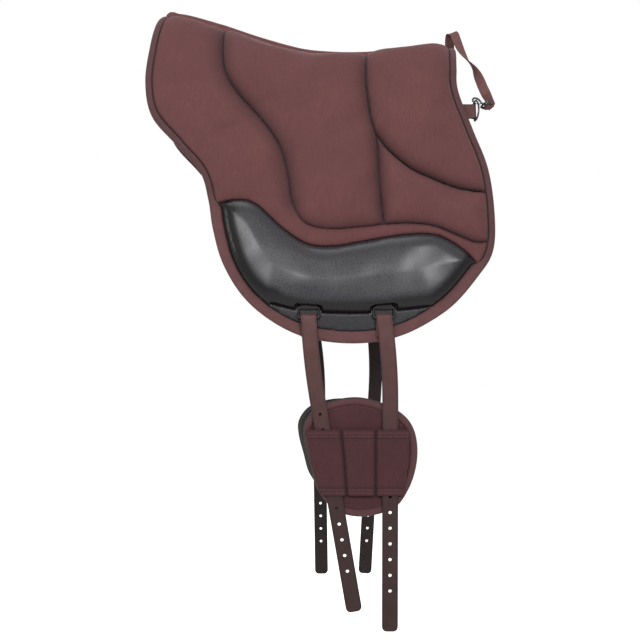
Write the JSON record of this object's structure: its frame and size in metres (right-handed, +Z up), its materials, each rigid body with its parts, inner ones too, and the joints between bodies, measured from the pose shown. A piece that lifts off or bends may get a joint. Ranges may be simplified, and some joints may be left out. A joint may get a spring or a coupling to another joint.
{
  "type": "bareback pad",
  "caption": "Padded suede riding pad draped over a horse's back, with leather billets, sliding billet guards, D-rings and a clip-on tail strap.",
  "frame": {"origin": "on the lining's underside at the lowest point of the spine line, where the pad rests on the horse's back", "axes": "+Z up, +X towards the horse's tail, so the withers are at -X; the near side, with the clipped tail strap, is at -Y"},
  "size_m": [0.5745, 0.3552, 1.0181],
  "materials": {
    "suede": "brown synthetic suede, matt",
    "binding": "brown woven binding tape",
    "lining": "dark non-slip lining",
    "foam": "foam",
    "black patch": "black grained synthetic leather, satin",
    "billet leather": "brown leather, satin",
    "mesh lining": "black mesh",
    "webbing": "brown woven webbing",
    "metal": "dark gunmetal, polished"
  },
  "bodies": {
    "pad": {"billet_loop_far_front": "metal", "billet_loop_far_rear": "metal", "billet_loop_near_front": "metal", "billet_loop_near_rear": "metal", "cantle_cushion_far": "suede", "cantle_cushion_near": "suede", "cantle_foam_far": "foam", "cantle_foam_near": "foam", "cover_far": "suede", "cover_near": "suede", "edge_binding": "binding", "foam_core_far": "foam", "foam_core_near": "foam", "front_panel_far": "suede", "front_panel_near": "suede", "knee_patch_far": "black patch", "knee_patch_near": "black patch", "lining": "lining", "loop_tab_far_front": "webbing", "loop_tab_far_rear": "webbing", "loop_tab_near_front": "webbing", "loop_tab_near_rear": "webbing", "patch_foam_far": "foam", "patch_foam_near": "foam", "patch_strip_far": "black patch", "patch_strip_near": "black patch", "rear_cushion_far": "suede", "rear_cushion_near": "suede", "rear_foam_far": "foam", "rear_foam_near": "foam", "ring_tab_far": "webbing", "ring_tab_near": "webbing", "seat_cushion_far": "suede", "seat_cushion_near": "suede", "seat_foam_far": "foam", "seat_foam_near": "foam", "snap_eye": "metal", "spine_strip": "suede", "tail_strap": "webbing"},
    "near_billets": {"billet_near_front": "billet leather", "billet_near_rear": "billet leather"},
    "far_billets": {"billet_far_front": "billet leather", "billet_far_rear": "billet leather"},
    "near_guard": {"guard_cover_near": "suede", "guard_foam_near": "foam", "guard_mesh_near": "mesh lining", "guard_pocket_near": "suede", "guard_rim_near": "suede"},
    "far_guard": {"guard_cover_far": "suede", "guard_foam_far": "foam", "guard_mesh_far": "mesh lining", "guard_pocket_far": "suede", "guard_rim_far": "suede"},
    "near_ring": {"d_ring_near": "metal"},
    "far_ring": {"d_ring_far": "metal"},
    "snap_body": {"snap_hook": "metal"},
    "snap_lever": {"snap_gate": "metal"}
  },
  "joints": [
    {"name": "near_billets_swing", "type": "hinge", "parent": "pad", "child": "near_billets", "pos_m": [0.02525, -0.16983, -0.44198], "axis": [-1, 0, 0], "range_deg": [0, 100]},
    {"name": "far_billets_swing", "type": "hinge", "parent": "pad", "child": "far_billets", "pos_m": [0.02525, 0.16983, -0.44198], "axis": [1, 0, 0], "range_deg": [0, 100]},
    {"name": "near_guard_slide", "type": "slide", "parent": "near_billets", "child": "near_guard", "axis": [0.1191, 0, -0.9929], "range_m": [-0.05, 0.04]},
    {"name": "far_guard_slide", "type": "slide", "parent": "far_billets", "child": "far_guard", "axis": [-0.02, 0, -0.9998], "range_m": [-0.06, 0.04]},
    {"name": "near_ring_turn", "type": "hinge", "parent": "pad", "child": "near_ring", "pos_m": [0.23722, -0.09878, -0.10402], "axis": [0, -0.225, -0.9744], "range_deg": [-4, 4]},
    {"name": "far_ring_turn", "type": "hinge", "parent": "pad", "child": "far_ring", "pos_m": [0.23722, 0.09878, -0.10402], "axis": [0, 0.225, -0.9744], "range_deg": [-90, 60]},
    {"name": "snap_swivel", "type": "hinge", "parent": "pad", "child": "snap_body", "pos_m": [0.25221, -0.0956, -0.09054], "axis": [-0.9173, -0.269, 0.2935], "range_deg": [-5, 5]},
    {"name": "snap_gate_turn", "type": "hinge", "parent": "snap_body", "child": "snap_lever", "pos_m": [0.24828, -0.09723, -0.09111], "axis": [-0.342, 0.9098, -0.235], "range_deg": [0, 20], "stiffness_Nm_per_rad": 0.005, "springref_deg": -2.86}
  ]
}
